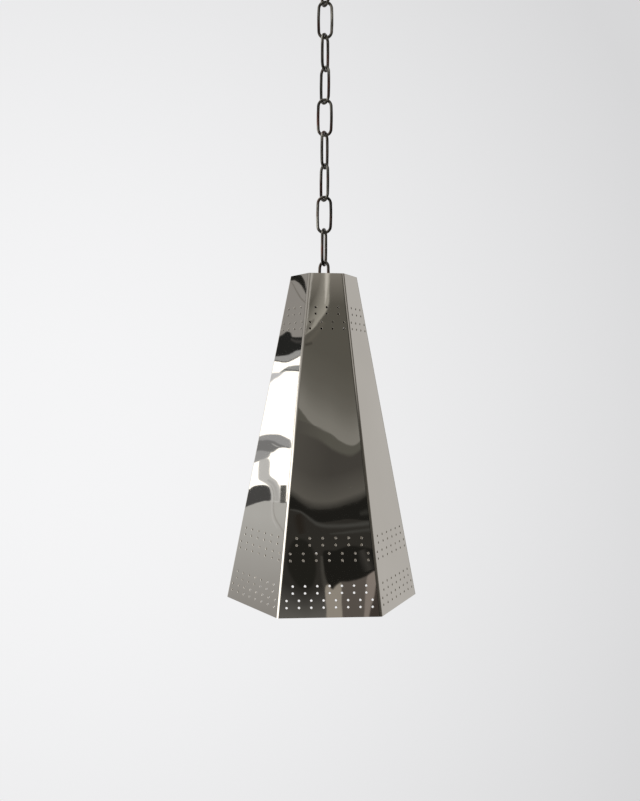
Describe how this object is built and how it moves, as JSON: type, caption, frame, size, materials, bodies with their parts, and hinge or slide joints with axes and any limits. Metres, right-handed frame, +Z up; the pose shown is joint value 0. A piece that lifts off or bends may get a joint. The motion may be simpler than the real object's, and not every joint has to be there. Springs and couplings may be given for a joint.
{
  "type": "pendant lamp",
  "caption": "Six-sided tapered shade of perforated sheet metal with a bulb inside, hung on a chain of long links from a round ceiling canopy.",
  "frame": {"origin": "middle of the ceiling bracket's flat top face, which meets the ceiling", "axes": "+Z is up, out of the bracket's top face into the ceiling; the lamp hangs towards -Z; -Y faces the picture's front panel and +X runs to its right along the bracket"},
  "size_m": [0.2082, 0.181, 0.7214],
  "materials": {
    "polished_nickel": "polished nickel plate",
    "dark_bronze": "dark bronze patina, worn",
    "zinc_steel": "zinc plated",
    "brass": "bright",
    "porcelain": "glazed porcelain",
    "frosted_glass": "frosted white",
    "black_glass": "black vitrite"
  },
  "bodies": {
    "ceiling_fitting": {"ceiling_bracket": "zinc_steel", "bracket_nut": "zinc_steel", "canopy_tube": "zinc_steel", "canopy": "polished_nickel", "ceiling_eye": "dark_bronze"},
    "link_01": {"chain_link_01": "dark_bronze"},
    "link_02": {"chain_link_02": "dark_bronze"},
    "link_03": {"chain_link_03": "dark_bronze"},
    "link_04": {"chain_link_04": "dark_bronze"},
    "link_05": {"chain_link_05": "dark_bronze"},
    "link_06": {"chain_link_06": "dark_bronze"},
    "link_07": {"chain_link_07": "dark_bronze"},
    "link_08": {"chain_link_08": "dark_bronze"},
    "link_09": {"chain_link_09": "dark_bronze"},
    "link_10": {"chain_link_10": "dark_bronze"},
    "shade": {"shade_panel_1": "polished_nickel", "shade_panel_2": "polished_nickel", "shade_panel_3": "polished_nickel", "shade_panel_4": "polished_nickel", "shade_panel_5": "polished_nickel", "shade_panel_6": "polished_nickel", "carrier_plate": "zinc_steel", "shade_eye": "dark_bronze", "holder_tube": "zinc_steel", "tube_washer": "zinc_steel", "tube_nut": "zinc_steel", "earth_screw": "brass", "earth_nut": "zinc_steel", "holder_cap": "polished_nickel", "holder_body": "polished_nickel", "holder_core": "porcelain", "screw_shell": "brass", "centre_contact": "brass", "terminal_screw_1": "brass", "terminal_screw_2": "brass"},
    "bulb": {"bulb_button": "brass", "bulb_insulator": "black_glass", "bulb_cap": "zinc_steel", "bulb_glass": "frosted_glass"}
  },
  "joints": [
    {"name": "link_01_swing", "type": "hinge", "parent": "ceiling_fitting", "child": "link_01", "pos_m": [0, 0, -0.0409], "axis": [0.9063, 0.4226, 0], "range_deg": [-30, 30]},
    {"name": "link_02_swing", "type": "hinge", "parent": "link_01", "child": "link_02", "pos_m": [0, 0, -0.076], "axis": [0.4226, -0.9063, 0], "range_deg": [-30, 30]},
    {"name": "link_03_swing", "type": "hinge", "parent": "link_02", "child": "link_03", "pos_m": [0, 0, -0.1113], "axis": [0.9962, -0.0872, 0], "range_deg": [-30, 30]},
    {"name": "link_04_swing", "type": "hinge", "parent": "link_03", "child": "link_04", "pos_m": [0, 0, -0.1466], "axis": [0.5, 0.866, 0], "range_deg": [-30, 30]},
    {"name": "link_05_swing", "type": "hinge", "parent": "link_04", "child": "link_05", "pos_m": [0, 0, -0.1819], "axis": [-0.5, 0.866, 0], "range_deg": [-30, 30]},
    {"name": "link_06_swing", "type": "hinge", "parent": "link_05", "child": "link_06", "pos_m": [0, 0, -0.2172], "axis": [-0.9976, 0.0698, 0], "range_deg": [-30, 30]},
    {"name": "link_07_swing", "type": "hinge", "parent": "link_06", "child": "link_07", "pos_m": [0, 0, -0.2525], "axis": [-0.4848, -0.8746, 0], "range_deg": [-30, 30]},
    {"name": "link_08_swing", "type": "hinge", "parent": "link_07", "child": "link_08", "pos_m": [0, 0, -0.2878], "axis": [0.4384, -0.8988, 0], "range_deg": [-30, 30]},
    {"name": "link_09_swing", "type": "hinge", "parent": "link_08", "child": "link_09", "pos_m": [0, 0, -0.3231], "axis": [0.9962, -0.0872, 0], "range_deg": [-30, 30]},
    {"name": "link_10_swing", "type": "hinge", "parent": "link_09", "child": "link_10", "pos_m": [0, 0, -0.3584], "axis": [0.3584, 0.9336, 0], "range_deg": [-30, 30]},
    {"name": "shade_swing", "type": "hinge", "parent": "link_10", "child": "shade", "pos_m": [0, 0, -0.3937], "axis": [-0.6018, 0.7986, 0], "range_deg": [-30, 30]},
    {"name": "bulb_out", "type": "slide", "parent": "shade", "child": "bulb", "axis": [0, 0, -1], "range_m": [0, 0.28]}
  ]
}
